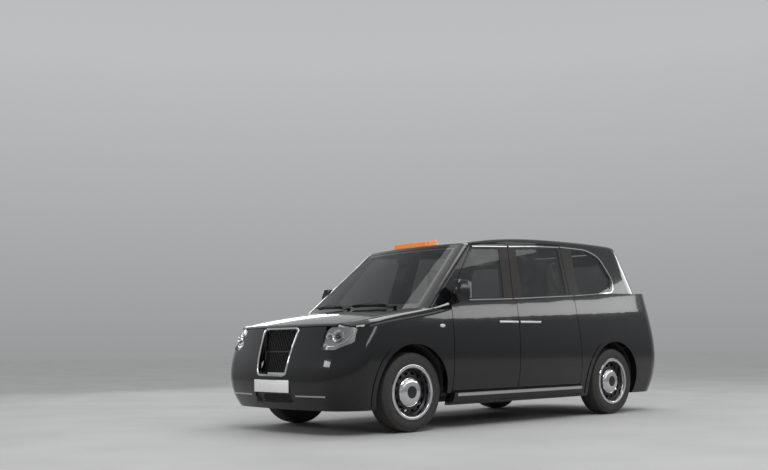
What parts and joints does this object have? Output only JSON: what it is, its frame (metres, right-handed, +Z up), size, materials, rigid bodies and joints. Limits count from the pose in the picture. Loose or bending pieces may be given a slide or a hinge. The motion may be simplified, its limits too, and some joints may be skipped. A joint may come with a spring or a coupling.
{
  "type": "purpose-built hybrid taxi cab",
  "caption": "Tall black taxi cab with a chrome grille, amber roof sign, four hinged doors, bonnet, tailgate and steered front wheels.",
  "frame": {"origin": "on the ground at the middle of the cab's length and width", "axes": "+X forward, +Y to the cab's left, +Z up"},
  "size_m": [4.8579, 2.037, 1.8814],
  "materials": {
    "paint_black": "gloss black paint",
    "underbody": "matt underbody coating",
    "glass_tinted": "lightly tinted glass",
    "chrome": "bright chrome",
    "black_plastic": "grained black plastic",
    "gloss_black_plastic": "gloss black plastic",
    "lamp_clear": "clear lamp cover",
    "lamp_red": "red lamp cover",
    "sign_orange": "amber sign cover",
    "seat_cloth": "dark hard-wearing seat cover",
    "cast_metal": "bare cast metal",
    "wheel_dark": "dark painted steel wheel",
    "tyre_rubber": "black tyre rubber"
  },
  "bodies": {
    "shell": {"platform": "underbody", "wheel_houses": "underbody", "body_side_left": "paint_black", "body_side_right": "paint_black", "roof_panel": "paint_black", "fixed_glass": "glass_tinted", "front_wings": "paint_black", "front_bumper": "paint_black", "grille_surround": "chrome", "grille": "black_plastic", "headlamps": "lamp_clear", "rear_bumper": "paint_black", "tail_lamps": "lamp_red", "cowl": "black_plastic", "dashboard": "black_plastic", "engine": "cast_metal", "battery": "underbody", "front_suspension": "cast_metal", "rear_axle": "cast_metal", "driver_seat": "seat_cloth", "rear_bench": "seat_cloth", "partition": "black_plastic", "roof_sign": "sign_orange", "sill_steps": "black_plastic"},
    "bonnet": {"bonnet": "paint_black"},
    "tailgate": {"tailgate": "paint_black", "tailgate_glass": "glass_tinted"},
    "steering_wheel": {"steering_wheel": "black_plastic"},
    "door_front_left": {"door_front_left": "paint_black", "door_front_glass_left": "glass_tinted", "door_mirror_left": "gloss_black_plastic"},
    "door_rear_left": {"door_rear_left": "paint_black", "door_rear_glass_left": "glass_tinted"},
    "knuckle_left": {"knuckle_left": "cast_metal"},
    "wheel_front_left": {"wheel_front_left": "wheel_dark", "tyre_front_left": "tyre_rubber"},
    "wheel_rear_left": {"wheel_rear_left": "wheel_dark", "tyre_rear_left": "tyre_rubber"},
    "door_front_right": {"door_front_right": "paint_black", "door_front_glass_right": "glass_tinted", "door_mirror_right": "gloss_black_plastic"},
    "door_rear_right": {"door_rear_right": "paint_black", "door_rear_glass_right": "glass_tinted"},
    "knuckle_right": {"knuckle_right": "cast_metal"},
    "wheel_front_right": {"wheel_front_right": "wheel_dark", "tyre_front_right": "tyre_rubber"},
    "wheel_rear_right": {"wheel_rear_right": "wheel_dark", "tyre_rear_right": "tyre_rubber"}
  },
  "joints": [
    {"name": "steer_left", "type": "hinge", "parent": "shell", "child": "knuckle_left", "pos_m": [1.54, 0.77, 0.35575], "axis": [0, 0, 1], "range_deg": [-45, 45]},
    {"name": "steer_right", "type": "hinge", "parent": "shell", "child": "knuckle_right", "pos_m": [1.54, -0.77, 0.35575], "axis": [0, 0, 1], "range_deg": [-45, 45]},
    {"name": "spin_front_left", "type": "hinge", "parent": "knuckle_left", "child": "wheel_front_left", "pos_m": [1.54, 0.8, 0.35575], "axis": [0, 1, 0], "continuous": true},
    {"name": "spin_rear_left", "type": "hinge", "parent": "shell", "child": "wheel_rear_left", "pos_m": [-1.445, 0.8, 0.35575], "axis": [0, 1, 0], "continuous": true},
    {"name": "front_door_left", "type": "hinge", "parent": "shell", "child": "door_front_left", "pos_m": [1.0365, 0.941, 0.9], "axis": [0, 0, -1], "range_deg": [0, 68]},
    {"name": "rear_door_left", "type": "hinge", "parent": "shell", "child": "door_rear_left", "pos_m": [-0.8725, 0.941, 0.9], "axis": [0, 0, 1], "range_deg": [0, 90]},
    {"name": "spin_front_right", "type": "hinge", "parent": "knuckle_right", "child": "wheel_front_right", "pos_m": [1.54, -0.8, 0.35575], "axis": [0, 1, 0], "continuous": true},
    {"name": "spin_rear_right", "type": "hinge", "parent": "shell", "child": "wheel_rear_right", "pos_m": [-1.445, -0.8, 0.35575], "axis": [0, 1, 0], "continuous": true},
    {"name": "front_door_right", "type": "hinge", "parent": "shell", "child": "door_front_right", "pos_m": [1.0365, -0.941, 0.9], "axis": [0, 0, 1], "range_deg": [0, 68]},
    {"name": "rear_door_right", "type": "hinge", "parent": "shell", "child": "door_rear_right", "pos_m": [-0.8725, -0.941, 0.9], "axis": [0, 0, -1], "range_deg": [0, 90]},
    {"name": "bonnet_hinge", "type": "hinge", "parent": "shell", "child": "bonnet", "pos_m": [1.15, 0, 1.09], "axis": [0, -1, 0], "range_deg": [0, 50]},
    {"name": "tailgate_hinge", "type": "hinge", "parent": "shell", "child": "tailgate", "pos_m": [-2.053, 0, 1.809], "axis": [0, 1, 0], "range_deg": [0, 80]},
    {"name": "steering_turn", "type": "hinge", "parent": "shell", "child": "steering_wheel", "pos_m": [0.792, -0.37, 0.985], "axis": [-0.9135, 0, 0.4067], "range_deg": [-361, 361]}
  ],
  "couplings": [
    {"joint": "steer_right", "follows": "steer_left", "ratio": 1},
    {"joint": "steering_turn", "follows": "steer_left", "ratio": 8}
  ]
}
